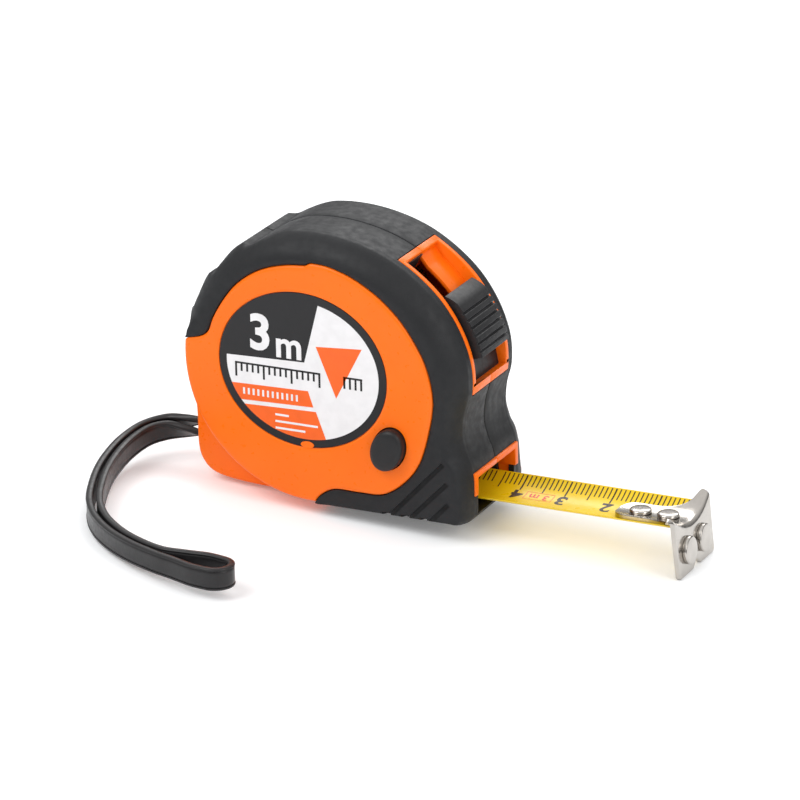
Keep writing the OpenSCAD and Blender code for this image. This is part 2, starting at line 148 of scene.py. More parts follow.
def resample(p, step):
    """The same line with its points evenly spaced."""
    d = np.r_[0, np.cumsum(np.linalg.norm(np.diff(p, axis=0), axis=1))]
    s = np.linspace(0, d[-1], max(2, int(round(d[-1] / step)) + 1))
    return np.stack([np.interp(s, d, p[:, k]) for k in range(p.shape[1])], 1)


def new_mesh(name, verts, faces):
    """Mesh object from points in mm, with its faces turned outwards."""
    me = bpy.data.meshes.new(name)
    me.from_pydata([tuple(float(x) * MM for x in v) for v in verts], [],
                   [tuple(int(i) for i in f) for f in faces])
    bm = bmesh.new()
    bm.from_mesh(me)
    bmesh.ops.recalc_face_normals(bm, faces=bm.faces)
    bm.to_mesh(me)
    bm.free()
    ob = bpy.data.objects.new(name, me)
    bpy.context.collection.objects.link(ob)
    return ob


def prism(name, outline, y0, y1):
    """Outline in x and z, spanning y0 to y1."""
    n = len(outline)
    verts = [(p[0], y, p[1]) for y in (y0, y1) for p in outline]
    faces = [(i, (i + 1) % n, n + (i + 1) % n, n + i) for i in range(n)]
    return new_mesh(name, verts, faces + [tuple(range(n)), tuple(range(2 * n - 1, n - 1, -1))])


def box(name, lo, hi):
    return prism(name, [(lo[0], lo[2]), (hi[0], lo[2]), (hi[0], hi[2]), (lo[0], hi[2])], lo[1], hi[1])


def sweep(name, rings, closed):
    """Solid from a closed cross-section: rings[k] holds point k of the section at every station."""
    r = np.array(rings)
    m, n = r.shape[0], r.shape[1]
    verts = r.transpose(1, 0, 2).reshape(-1, 3)
    faces = []
    for i in range(n if closed else n - 1):
        j = (i + 1) % n
        for k in range(m):
            q = (k + 1) % m
            faces.append((i * m + k, j * m + k, j * m + q, i * m + q))
    if not closed:
        faces += [tuple(range(m)), tuple(range(n * m - 1, (n - 1) * m - 1, -1))]
    return new_mesh(name, verts, faces)


def lathe(name, profile, segments, place):
    """Round piece from (radius, height) pairs; place turns a local point into x, y, z."""
    verts = [place(0, 0, profile[0][1])]
    for r, h in profile:
        for s in range(segments):
            a = 2 * math.pi * s / segments
            verts.append(place(r * math.cos(a), r * math.sin(a), h))
    verts.append(place(0, 0, profile[-1][1]))
    n, last = segments, len(profile) * segments + 1
    faces = [(0, 1 + s, 1 + (s + 1) % n) for s in range(n)]
    for k in range(len(profile) - 1):
        faces += [(1 + k * n + s, 1 + (k + 1) * n + s, 1 + (k + 1) * n + (s + 1) % n, 1 + k * n + (s + 1) % n)
                  for s in range(n)]
    faces += [(last, last - n + (s + 1) % n, last - n + s) for s in range(n)]
    return new_mesh(name, verts, faces)


def apply_modifiers(ob):
    """Puts the evaluated mesh in place of the object's own."""
    deps = bpy.context.evaluated_depsgraph_get()
    me = bpy.data.meshes.new_from_object(ob.evaluated_get(deps))
    ob.modifiers.clear()
    old, ob.data = ob.data, me
    bpy.data.meshes.remove(old)


def cut(ob, cutter, operation="DIFFERENCE"):
    """Exact boolean that uses the cutter up."""
    mod = ob.modifiers.new("cut", "BOOLEAN")
    mod.object, mod.operation, mod.solver = cutter, operation, "EXACT"
    apply_modifiers(ob)
    bpy.data.objects.remove(cutter)
    return ob


def round_edges(ob, width, segments=2, angle=35):
    mod = ob.modifiers.new("edges", "BEVEL")
    mod.width, mod.segments, mod.limit_method = width * MM, segments, "ANGLE"
    mod.angle_limit, mod.harden_normals = math.radians(angle), False
    return ob


def smooth(ob, angle=38):
    """Shades smooth, with edges sharper than the angle kept crisp."""
    bm = bmesh.new()
    bm.from_mesh(ob.data)
    for f in bm.faces:
        f.smooth = True
    for e in bm.edges:
        e.smooth = len(e.link_faces) == 2 and e.calc_face_angle(0) < math.radians(angle)
    bm.to_mesh(ob.data)
    bm.free()
    return ob


def merged(name, parts):
    """One object from several, with their modifiers applied."""
    bm = bmesh.new()
    for p in parts:
        apply_modifiers(p)
        bm.from_mesh(p.data)
    me = bpy.data.meshes.new(name)
    bm.to_mesh(me)
    bm.free()
    ob = bpy.data.objects.new(name, me)
    bpy.context.collection.objects.link(ob)
    for p in parts:
        bpy.data.objects.remove(p)
    return ob


def finish_piece(ob, body, slot, material, *nodes):
    """Material, and the body that the piece rides on; body None leaves it unattached. The slot argument is not
    used.
    """
    ob.data.materials.clear()
    ob.data.materials.append(material)
    if body:
        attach(ob, body)
    if nodes:
        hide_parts(*nodes)
    return ob


# ---------------------------------------------------------------- materials


class Shader:
    """A Principled material with helpers for object-space noise."""

    def __init__(self, name, colour, rough, metal=0.0, **sockets):
        self.mat = bpy.data.materials.new(name)
        self.mat.use_nodes = True
        self.nodes, self.links = self.mat.node_tree.nodes, self.mat.node_tree.links
        self.bsdf = self.nodes["Principled BSDF"]
        self.colour = (*colour, 1.0)
        self.bsdf.inputs["Base Color"].default_value = self.colour
        self.bsdf.inputs["Roughness"].default_value = rough
        self.bsdf.inputs["Metallic"].default_value = metal
        for key, value in sockets.items():
            self.bsdf.inputs[key.replace("_", " ")].default_value = value
        self.coords = self.nodes.new("ShaderNodeTexCoord")
        self.height = None

    def noise(self, size_mm, detail=3.0, stretch=(1, 1, 1)):
        """Noise whose features are about size_mm across."""
        mapping = self.nodes.new("ShaderNodeMapping")
        mapping.inputs["Scale"].default_value = stretch
        tex = self.nodes.new("ShaderNodeTexNoise")
        tex.inputs["Scale"].default_value = 1 / (size_mm * MM)
        tex.inputs["Detail"].default_value = detail
        self.links.new(self.coords.outputs["Object"], mapping.inputs["Vector"])
        self.links.new(mapping.outputs["Vector"], tex.inputs["Vector"])
        return tex.outputs["Fac"]

    def ramp(self, fac, low, high, value_low, value_high):
        node = self.nodes.new("ShaderNodeMapRange")
        for key, value in (("From Min", low), ("From Max", high),
                           ("To Min", value_low), ("To Max", value_high)):
            node.inputs[key].default_value = value
        self.links.new(fac, node.inputs["Value"])
        return node.outputs["Result"]

    def vary_colour(self, fac, other, low=0.35, high=0.65):
        mix = self.nodes.new("ShaderNodeMix")
        mix.data_type = "RGBA"
        mix.inputs["A"].default_value, mix.inputs["B"].default_value = self.colour, (*other, 1.0)
        self.links.new(self.ramp(fac, low, high, 0, 1), mix.inputs["Factor"])
        self.links.new(mix.outputs["Result"], self.bsdf.inputs["Base Color"])

    def vary_rough(self, fac, low, high):
        self.links.new(self.ramp(fac, 0.3, 0.7, low, high), self.bsdf.inputs["Roughness"])

    def bump(self, fac, depth_mm, strength=1.0):
        node = self.nodes.new("ShaderNodeBump")
        node.inputs["Distance"].default_value = depth_mm * MM
        node.inputs["Strength"].default_value = strength
        self.links.new(fac, node.inputs["Height"])
        if self.height is not None:
            self.links.new(self.height, node.inputs["Normal"])
        self.height = node.outputs["Normal"]
        self.links.new(self.height, self.bsdf.inputs["Normal"])


def orange_material():
    s = Shader("orange_abs", (0.93, 0.152, 0.002), 0.27, Specular_IOR_Level=0.26)
    s.vary_colour(s.noise(9), (0.95, 0.162, 0.003), 0.3, 0.7)
    s.vary_rough(s.noise(1.2), 0.26, 0.38)
    s.bump(s.noise(0.25, 2), 0.006)
    s.bump(s.noise(14, 1), 0.06)
    return s.mat


def rubber_material():
    s = Shader("black_rubber", (0.0105, 0.011, 0.0125), 0.46, Specular_IOR_Level=0.3)
    s.vary_colour(s.noise(5), (0.0125, 0.013, 0.0145), 0.3, 0.7)
    s.vary_rough(s.noise(1.6), 0.46, 0.62)
    s.bump(s.noise(0.3, 3), 0.02)
    return s.mat


def plastic_material(name, colour, rough):
    s = Shader(name, colour, rough, Specular_IOR_Level=0.32)
    s.vary_colour(s.noise(4), tuple(c * 1.25 + 0.003 for c in colour), 0.3, 0.7)
    s.vary_rough(s.noise(1.0), rough - 0.05, rough + 0.08)
    s.bump(s.noise(0.22, 2), 0.012)
    return s.mat


def vinyl_material():
    s = Shader("black_vinyl", (0.009, 0.0085, 0.009), 0.34, Specular_IOR_Level=0.36, Coat_Weight=0.08,
               Coat_Roughness=0.3)
    s.vary_colour(s.noise(3), (0.014, 0.0125, 0.0135), 0.3, 0.7)
    s.vary_rough(s.noise(0.9), 0.3, 0.46)
    s.bump(s.noise(0.35, 3), 0.02)
    return s.mat


def steel_material(name, colour, rough, stretch):
    s = Shader(name, colour, rough, 1.0)
    s.vary_colour(s.noise(3), tuple(min(1, c * 0.9) for c in colour), 0.35, 0.7)
    s.vary_rough(s.noise(0.8, 4, stretch), rough - 0.02, rough + 0.07)
    s.bump(s.noise(0.3, 2, stretch), 0.003)
    return s.mat


def paint_material():
    s = Shader("yellow_lacquer", (0.78, 0.53, 0.004), 0.3, Specular_IOR_Level=0.3, Coat_Weight=0.08,
               Coat_Roughness=0.12)
    s.vary_colour(s.noise(6), (0.73, 0.49, 0.003), 0.35, 0.7)
    s.vary_rough(s.noise(1.5), 0.26, 0.38)
    s.bump(s.noise(0.5, 2), 0.004)
    return s.mat


def print_material(name, colour, rough=0.35):
    s = Shader(name, colour, rough, Specular_IOR_Level=0.3)
    s.vary_colour(s.noise(2.5), tuple(c * 0.94 for c in colour), 0.4, 0.7)
    s.vary_rough(s.noise(1.1), rough - 0.04, rough + 0.06)
    s.bump(s.noise(0.4, 2), 0.003)
    return s.mat


ORANGE = orange_material()
RUBBER = rubber_material()
BLACK = plastic_material("black_abs", (0.011, 0.011, 0.012), 0.42)
PAD = plastic_material("pad_rubber", (0.02, 0.02, 0.02), 0.6)
SPOOL = plastic_material("spool_nylon", (0.03, 0.03, 0.032), 0.5)
VINYL = vinyl_material()
NICKEL = steel_material("satin_nickel", (0.5, 0.47, 0.435), 0.17, (1, 1, 1))
ZINC = steel_material("zinc_steel", (0.62, 0.62, 0.63), 0.28, (1, 1, 0.08))
SPRING = steel_material("blued_spring", (0.2, 0.21, 0.25), 0.35, (1, 0.1, 1))
CLIP_STEEL = steel_material("clip_steel", (0.56, 0.56, 0.57), 0.3, (0.08, 1, 1))
YELLOW = paint_material()
INK = print_material("scale_ink", (0.03, 0.02, 0.012))
RED_INK = print_material("red_ink", (0.7, 0.05, 0.02))
WHITE = print_material("label_white", (0.8, 0.79, 0.8))
DARK = print_material("label_dark", (0.014, 0.0135, 0.015))
LABEL_ORANGE = print_material("label_orange", (0.88, 0.13, 0.015))

# ---------------------------------------------------------------- camera, light and floor

# The real tool stands on its back edge and its hook, so its table leans this way in the part's frame
BACK_REST, HOOK_REST = (-25.0, -0.15), (79.9, -6.1)


def make_camera():
    az, el, roll = (math.radians(a) for a in CAMERA_TURN)
    right = Vector((math.cos(az), math.sin(az), 0))
    ahead = Vector((-math.sin(az) * math.cos(el), math.cos(az) * math.cos(el), -math.sin(el)))
    up = right.cross(ahead)
    right, up = (math.cos(roll) * right + math.sin(roll) * up, math.cos(roll) * up - math.sin(roll) * right)
    cam = bpy.data.objects.new("camera", bpy.data.cameras.new("camera"))
    bpy.context.collection.objects.link(cam)
    place = Matrix((right, up, -ahead)).transposed().to_4x4()
    place.translation = Vector(CAMERA_AT) * MM - ahead * CAMERA_AWAY * MM
    cam.matrix_world = place
    cam.data.lens, cam.data.sensor_width = CAMERA_LENS, 36
    cam.data.clip_start, cam.data.clip_end = 0.05, 20
    bpy.context.scene.camera = cam


def make_light(name, place, size, power, target=(0.01, -0.01, 0.02)):
    data = bpy.data.lights.new(name, "AREA")
    data.shape, data.size, data.size_y, data.energy = "RECTANGLE", size[0], size[1], power
    ob = bpy.data.objects.new(name, data)
    ob.location = place
    ob.rotation_euler = (Vector(target) - Vector(place)).to_track_quat("-Z", "Y").to_euler()
    bpy.context.collection.objects.link(ob)


def make_stage():
    lean = math.atan2(BACK_REST[1] - HOOK_REST[1], HOOK_REST[0] - BACK_REST[0])
    floor = new_mesh("floor", [(-3000, -3000, 0), (3000, -3000, 0), (3000, 3000, 0), (-3000, 3000, 0)],
                     [(0, 1, 2, 3)])
    floor.matrix_world = (Matrix.Translation((BACK_REST[0] * MM, 0, BACK_REST[1] * MM))
                          @ Matrix.Rotation(lean, 4, "Y"))
    s = Shader("floor_paper", (0.86, 0.87, 0.88), 0.8, Emission_Color=(1, 1, 1, 1), Emission_Strength=0.16)
    s.bump(s.noise(0.6, 2), 0.01)
    floor.data.materials.append(s.mat)
    world = bpy.data.worlds.new("studio")
    world.use_nodes = True
    nodes, links = world.node_tree.nodes, world.node_tree.links
    coords, split = nodes.new("ShaderNodeTexCoord"), nodes.new("ShaderNodeSeparateXYZ")
    height = nodes.new("ShaderNodeMapRange")
    for key, value in (("From Min", 0.0), ("From Max", 0.75), ("To Min", 0.12), ("To Max", 1.05)):
        height.inputs[key].default_value = value
    links.new(coords.outputs["Generated"], split.inputs["Vector"])
    links.new(split.outputs["Z"], height.inputs["Value"])
    links.new(height.outputs["Result"], nodes["Background"].inputs["Strength"])
    nodes["Background"].inputs["Color"].default_value = (1, 1, 1, 1)
    bpy.context.scene.world = world
    make_light("key", (-0.35, -0.55, 0.75), (0.5, 0.5), 3.6)
    make_light("side", (0.8, -0.25, 0.45), (0.35, 0.6), 2.4)
    make_light("rim", (-0.1, 0.7, 0.6), (0.7, 0.3), 3.0)
    bpy.context.scene.view_settings.view_transform = "Standard"
    bpy.context.scene.view_settings.look = "None"


make_camera()
make_stage()

# ---------------------------------------------------------------- wrist strap


def strap_frames():
    """Centre, width direction and layer direction along the strap's route."""
    line = through(STRAP_LINE, 8)
    c = line[:, :3]
    t = np.gradient(c, axis=0)
    t[:, 2] = 0
    t /= np.linalg.norm(t, axis=1)[:, None]
    side = np.stack([-t[:, 1], t[:, 0], np.zeros(len(t))], 1)
    turn = np.radians(line[:, 3])[:, None]
    up = np.array([0, 0, 1.0])
    return c, side * np.cos(turn) + up * np.sin(turn), side * np.sin(turn) - up * np.cos(turn), line[:, 4], t


def strap_path():
    """The band's own line: out along one layer, round the end, and back along the other."""
    c, w, n, full, t = strap_frames()
    off = (full / 2 - STRAP_T / 2)[:, None]
    out, back = (c + n * off)[1:-1], (c - n * off)[1:-1]
    r = float(off[-1][0])
    turn = [c[-1] + n[-1] * r * math.cos(a) + t[-1] * r * 1.1 * math.sin(a)
            for a in np.radians(range(0, 181, 15))]
    pin = [np.array([PIN[0] + PIN_BEND * math.cos(a), 0, PIN[1] + PIN_BEND * math.sin(a)])
           for a in np.radians([-2, -45, -85])]
    mirror = [p * [1, 1, -1] + [0, 0, 2 * PIN[1]] for p in pin[::-1]]
    path = np.array(pin + list(out) + turn + list(back[::-1]) + mirror)
    widths = np.array([w[0]] * 3 + list(w[1:-1]) + [w[-1]] * len(turn) + list(w[1:-1][::-1]) + [w[0]] * 3)
    both = resample(through(np.hstack([path, widths]), 3), 0.7)
    return both[:, :3], both[:, 3:]


def make_strap():
    path, width = strap_path()
    half, thick = STRAP_W / 2, STRAP_T / 2
    side = [(1, 0.0), (0.985, 0.5), (0.93, 0.86), (0.85, 1), (0.77, 0.97), (0.73, 0.7), (0.68, 0.86),
            (0.45, 0.86), (0.2, 0.85)]
    top = side + [(-u, v) for u, v in side[::-1]]
    section = top + [(u, -v) for u, v in top[::-1][1:-1]]
    t = np.gradient(path, axis=0)
    t /= np.linalg.norm(t, axis=1)[:, None]
    width = width - t * np.sum(width * t, axis=1)[:, None]
    width /= np.linalg.norm(width, axis=1)[:, None]
    flat = np.cross(t, width)
    strap = sweep("wrist_strap_band", [path + width * u * half + flat * v * thick for u, v in section], False)
    smooth(strap, 50)
    finish_piece(strap, "case", "strap_vinyl", VINYL, "wrist_strap")
    length = float(np.sum(np.linalg.norm(np.diff(path, axis=0), axis=1)))
    [tuple(p * MM) for p in path]


make_strap()

# ---------------------------------------------------------------- case shells


class Outline:
    """A closed outline as a radius about CENTRE for any angle, with its outward lean."""

    def __init__(self, points):
        p = resample(np.vstack([points, points[:1]]), 0.1)[:-1]
        d = np.roll(p, -1, 0) - np.roll(p, 1, 0)
        normal = np.stack([d[:, 1], -d[:, 0]], 1) / np.linalg.norm(d, axis=1)[:, None]
        v = p - CENTRE
        r = np.linalg.norm(v, axis=1)
        a = np.degrees(np.arctan2(v[:, 1], v[:, 0])) % 360
        order = np.argsort(a)
        self.a, self.r = a[order], r[order]
        self.lean = np.maximum(0.6, np.sum(normal * v, axis=1) / r)[order]

    def radius(self, angle):
        return np.interp(np.mod(angle, 360), self.a, self.r, period=360)

    def step(self, angle):
        """How far to go along the ray for one millimetre across the outline."""
        return 1 / np.interp(np.mod(angle, 360), self.a, self.lean, period=360)


def rim_points():
    corner = [(33.8, 0), (35.0, 0.3), (35.9, 1.2), (36.2, 2.4)]
    return np.vstack([through(RIM_CURVE, 16)[:-1], resample(np.array([(-8.0, 0), (33.8, 0)]), 1)[:-1],
                      through(corner, 6)[:-1], resample(np.array([(36.2, 2.4), (36.2, 9.4)]), 1)[:-1]])


def face_points():
    return np.vstack([through(FACE_FRONT, 12), through(FACE_BACK, 12),
                      arc(FACE_C, FACE_R, 174.2, 270.9, 160)])


RIM = Outline(rim_points())
FACE = Outline(face_points())
LABEL = Outline(oval(LABEL_C, (LABEL_AB[0] + 0.1, LABEL_AB[1] + 0.1), LABEL_TURN, 200))


def rim_at_lock(angle):
    """Distance of the rim from the lock's centre, with the window frame a little proud."""
    v = rim_points() - LOCK_C
    a = np.degrees(np.arctan2(v[:, 1], v[:, 0]))
    order = np.argsort(a)
    return np.interp(angle, a[order], np.linalg.norm(v, axis=1)[order]) + 0.12


def stations(a0, a1, step=0.55):
    """Angles spaced evenly along the rim between two angles."""
    a = np.linspace(a0, a1, 3000)
    r = RIM.radius(a)
    p = np.stack([r * np.cos(np.radians(a)), r * np.sin(np.radians(a))], 1)
    d = np.r_[0, np.cumsum(np.linalg.norm(np.diff(p, axis=0), axis=1))]
    return np.interp(np.linspace(0, d[-1], int(d[-1] / step)), d, a)


def at(angle, radius, y, side):
    """Points at these angles and radii about CENTRE, y out from the middle on one side."""
    a = np.radians(angle)
    return np.stack([CENTRE[0] + radius * np.cos(a), np.broadcast_to(side * np.asarray(y, float), a.shape),
                     CENTRE[1] + radius * np.sin(a)], 1)


def share(angle):
    """The shoulders are full over the top, and small along the bottom edge."""
    r = RIM.radius(angle)
    x, z = CENTRE[0] + r * np.cos(np.radians(angle)), CENTRE[1] + r * np.sin(np.radians(angle))
    front = 0.25 + 0.75 * np.clip(z / 25, 0, 1)
    back = np.clip(0.5 + 0.5 * (z - 33) / 12, 0.5, 1)
    ends = np.clip((167 - angle) / 7, 0.12, 1) * np.clip((angle + 88) / 7, 0.12, 1)
    return np.where((x > 5) | (z < 10), front, back) * ends


def scallops(angle):
    """Shallow finger hollows across the back of the rim, in mm."""
    depth = np.zeros(len(angle))
    for start, end, deep in ((101, 123, 1.5), (126, 143, 1.3), (146, 160, 1.1)):
        u = np.clip((angle - start) / (end - start), 0, 1)
        depth += deep * np.minimum(u ** 1.3, np.clip((1 - u) / 0.12, 0, 1))
    return depth


def tuck(angle):
    """How far the cheeks draw in towards the rubber's two ends, to meet the bare shell's edge."""
    back = np.clip((angle - BARE[0] + 9) / 6, 0, 1)
    front = np.clip(1 - (angle - RUBBER_RANGE[0]) / 8, 0, 1)
    return 1.5 * back + 0.9 * front


def rubber_shell(side):
    """Rings run from the edge beside the face, over the shoulder and rim, and back along the inside."""
    a = stations(*RUBBER_RANGE)
    rim, face, step, sh, dip = RIM.radius(a), FACE.radius(a), RIM.step(a), share(a), scallops(a)
    cheek = rim - tuck(a)
    inner = rim - GRIP_T * step - dip
    under = np.maximum(cheek - (SHOULDER * sh + GRIP_T) * step, face + 0.3)
    rim = rim - 0.65 * np.clip((a - BARE[0] + 9) / 6, 0, 1) ** 2

    def shoulder(d):
        return cheek - np.minimum(d * sh * step, np.maximum(cheek - face - 0.9, 0.1) * d / SHOULDER)

    gap = np.maximum(shoulder(SHOULDER) - face, 0.2)
    rings = [(face + 0.12, 14.3), (face + 0.12, 15.0), (face + np.minimum(0.3, 0.25 * gap), 15.22),
             (face + np.minimum(0.8, 0.5 * gap), 15.3), (face + 0.75 * gap, 15.3), (shoulder(4.4), 15.2),
             (shoulder(3.8), 15.0), (shoulder(3.0), 14.55), (shoulder(2.3), 14.0), (shoulder(1.5), 13.2),
             (shoulder(0.9) - dip * 0.15, 12.4), (shoulder(0.45) - dip * 0.5, 11.6),
             (shoulder(0.15) - dip * 0.85, 10.9), (rim - dip, 10.4),
             (rim - 0.08 - dip, 10.0), (rim - dip, 9.6), (rim - dip, 9.2), (rim - dip, 6.0),
             (rim - dip, 3.0), (rim - dip, 0.35), (rim - dip - 0.08, 0.16), (rim - dip - 0.3, 0.03),
             (inner - 0.05, 0.03), (inner - 0.05, 6.0), (inner - 0.05, 10.4), (under, 10.6), (under, 14.2),
             (under * 0.5 + face * 0.5, 14.3)]
    return sweep("grip_skin", [at(a, r, y, side) for r, y in rings], False)


def orange_shell(side):
    """Rings run from the middle of the face out to the rim and back inside; pick gives the bare part's."""
    a = np.concatenate([stations(*RUBBER_RANGE), stations(BARE[0] + 0.01, BARE[1] - 0.01)])
    bare = (a > BARE[0]) & (a < BARE[1])
    rim, face, label, step, sh = RIM.radius(a), FACE.radius(a), LABEL.radius(a), RIM.step(a), share(a)
    sunk = rim - (GRIP_T + 0.07) * step - scallops(a)
    under = np.maximum(rim - tuck(a) - (SHOULDER * sh + GRIP_T + 0.02) * step, face + 0.1)
    inside = sunk - SHELL_T * step
    outer = np.where(bare, rim, sunk)

    def pick(rubber_r, rubber_y, bare_r, bare_y):
        return np.where(bare, bare_r, rubber_r), np.where(bare, bare_y, rubber_y)

    if side < 0:
        middle = [(label - 0.6, 13.6), (label - 0.6, 15.1), (label, 15.1), (label + 0.05, 15.38),
                  (label + 0.22, 15.5)]
    else:
        middle = [(label * 0.002, 13.6), (label * 0.002, 15.5), (label * 0.5, 15.5), (label - 0.35, 15.5),
                  (label - 0.25, 15.3), (label - 0.05, 15.3), (label + 0.05, 15.5)]
    rings = middle + [
             (label + 0.7, 15.5), (label * 0.5 + face * 0.5 - 0.35, 15.5),
             (face - 1.4, 15.5), (face - 0.75, 15.48), (face - 0.35, 15.38), (face - 0.1, 15.18), (face, 14.85),
             pick(face + 0.01, 14.0, face, 9.7), pick(face + 0.05, 13.95, face + 0.08, 9.25),
             pick(face * 0.5 + under * 0.5, 13.95, face + 0.3, 9.05),
             pick(under - 0.02, 13.9, face * 0.4 + rim * 0.6, 9.0), pick(under, 11.0, rim - 0.9 * step, 9.0),
             pick(under, 10.55, rim - 0.45 * step, 8.92), pick(sunk, 10.35, rim - 0.12 * step, 8.6),
             pick(sunk, 9.0, rim, 8.1), (outer, 4.0), (outer, 0.35), (outer - 0.1, 0.14), (outer - 0.4, 0.02),
             pick(inside, 0.02, rim - SHELL_T * step, 0.02), pick(inside, 8.4, rim - SHELL_T * step, 6.9),
             pick(np.minimum(inside, under - 1.4), 8.9, face - 1.6, 7.2),
             pick(np.minimum(inside, under - 1.4), 12.2, face - 1.8, 8.4), (face - 2.2, 13.5)]
    return sweep("orange_skin", [at(a, r, y, side) for r, y in rings], True)


def window_cutter(half, a0, a1):
    return prism("cutter", band(LOCK_C, 27, 42, a0, a1, 40), -half, half)


def mouth_cutter(half, z0, z1):
    return box("cutter", (27, -half, z0), (40, half, z1))


def pause_cutter():
    return prism("cutter", oval(PAUSE_C, (PAUSE_AB[0] + 0.25, PAUSE_AB[1] + 0.25), PAUSE_TURN, 64), -20, -12.2)


def foot_grooves(side):
    """Three slanting grip grooves low on the front of each cheek."""
    cutters = []
    lines = (((31.4, 13.8), (18.2, -0.2)), ((32.2, 9.7), (22.6, -0.2)), ((32.4, 5.2), (27.2, -0.2)))
    for (x0, z0), (x1, z1) in lines:
        d = np.array([x1 - x0, z1 - z0])
        n = np.array([-d[1], d[0]]) / np.linalg.norm(d) * 0.5
        quad = [(x0 + n[0], z0 + n[1]), (x1 + n[0], z1 + n[1]),
                (x1 - n[0], z1 - n[1]), (x0 - n[0], z0 - n[1])]
        ys = sorted((side * 14.5, side * 17))
        cutters.append(prism("groove", quad, *ys))
    return merged("cutter", cutters)


def foot_notches(side):
    """The same grooves carried a little way under the base edge."""
    cutters = []
    for x in (18.2, 22.4, 26.7):
        ys = sorted((side * 12.6, side * 17))
        cutters.append(box("notch", (x - 0.85, ys[0], -1), (x + 0.85, ys[1], 1.5)))
    return merged("cutter", cutters)


def make_shell(side, word):
    grip = rubber_shell(side)
    cut(grip, window_cutter(FRAME_HALF + 0.08, FRAME[0] - 0.3, FRAME[1] + 0.3))
    cut(grip, mouth_cutter(10.6, 5.9, 10.9))
    cut(grip, mouth_cutter(8.9, 1.7, 6.0))
    cut(grip, foot_grooves(side))
    cut(grip, foot_notches(side))
    if side > 0:
        for c in SCREWS:
            cut(grip, prism("cutter", arc(c, 2.3, 0, 350, 35), 9, 20))
    smooth(grip, 42)
    finish_piece(grip, "case", "grip_rubber", RUBBER, "grip_" + word)

    shell = orange_shell(side)
    # The shell's openings stand a little back from the frames', so only the frames line them
    cut(shell, window_cutter(WINDOW_HALF + 0.2, WINDOW[0] - 0.5, WINDOW[1] + 0.5))
    cut(shell, mouth_cutter(MOUTH_HALF + 0.2, 1.6, MOUTH_TOP + 0.2))
    cut(shell, box("cutter", *STRAP_SLOT))
    cut(shell, box("cutter", *BLADE_CHANNEL))
    if side < 0:
        cut(shell, pause_cutter())
    else:
        for c in SCREWS:
            cut(shell, prism("cutter", arc(c, 2.2, 0, 350, 35), 11.7, 20))
    smooth(shell, 42)
    finish_piece(shell, "case", "orange_shell", ORANGE, "case_" + word)


def make_frames(side, word):
    """Orange frames round the window and the mouth, and the ledge beside the lock button."""
    lo, hi = sorted((0.02 * side, FRAME_HALF * side))
    a = np.linspace(*FRAME, 56)
    top = np.stack([LOCK_C[0] + rim_at_lock(a) * np.cos(np.radians(a)),
                    LOCK_C[1] + rim_at_lock(a) * np.sin(np.radians(a))], 1)
    window = prism("window_frame", np.concatenate([top, arc(LOCK_C, FRAME_R, *FRAME[::-1], 44)]), lo, hi)
    cut(window, window_cutter(WINDOW_HALF, *WINDOW))
    lo, hi = sorted((0.02 * side, 10.5 * side))
    mouth = prism("mouth_frame", [(31.6, 5.9), (36.5, 5.9), (36.5, 10.8), (31.6, 10.8)], lo, hi)
    cut(mouth, mouth_cutter(MOUTH_HALF, 1, MOUTH_TOP))
    parts = [round_edges(window, 0.22), round_edges(mouth, 0.22)]
    if side > 0:
        a = np.linspace(33, 59.2, 30)
        r = np.interp(a, [33, 54.6, 59.2], [32.5, 32.85, 33.7])
        way = np.stack([np.cos(np.radians(a)), np.sin(np.radians(a))], 1)
        ledge = np.concatenate([LOCK_C + way * r[:, None], (LOCK_C + way * (r - 0.8)[:, None])[::-1]])
        parts.append(round_edges(prism("ledge", ledge, 0.6, 7.6), 0.15))
    frames = merged("front_frames_" + word, parts)
    smooth(frames, 40)
    finish_piece(frames, "case", "orange_shell", ORANGE)


for shell_side, shell_word in ((-1, "left"), (1, "right")):
    make_shell(shell_side, shell_word)
    make_frames(shell_side, shell_word)

# ---------------------------------------------------------------- label


def flat_layer(name, outline, y, cutters=()):
    """Thin printed layer on the left face, from y out to the label's base."""
    layer = prism(name, outline, y, LABEL_BACK)
    for c in cutters:
        cut(layer, prism("cutter", c, -16, -15), "INTERSECT")
    return layer


def bars(name, spans, y):
    return merged(name, [prism(name, [(x0, z0), (x1, z0), (x1, z1), (x0, z1)], y, LABEL_BACK)
                         for x0, x1, z0, z1 in spans])


def letters(name, text, size, place, depth, bold=0.06):
    """Text as a solid mesh; place is a matrix in mm and depth the height of the strokes."""
    curve = bpy.data.curves.new(name, "FONT")
    curve.body, curve.size, curve.extrude, curve.offset = text, size, depth / 2, bold
    curve.align_x, curve.align_y, curve.resolution_u = "CENTER", "CENTER", 4
    source = bpy.data.objects.new(name, curve)
    bpy.context.collection.objects.link(source)
    deps = bpy.context.evaluated_depsgraph_get()
    me = bpy.data.meshes.new_from_object(source.evaluated_get(deps))
    bpy.data.objects.remove(source)
    me.transform(place)
    me.transform(Matrix.Scale(MM, 4))
    ob = bpy.data.objects.new(name, me)
    bpy.context.collection.objects.link(ob)
    return ob


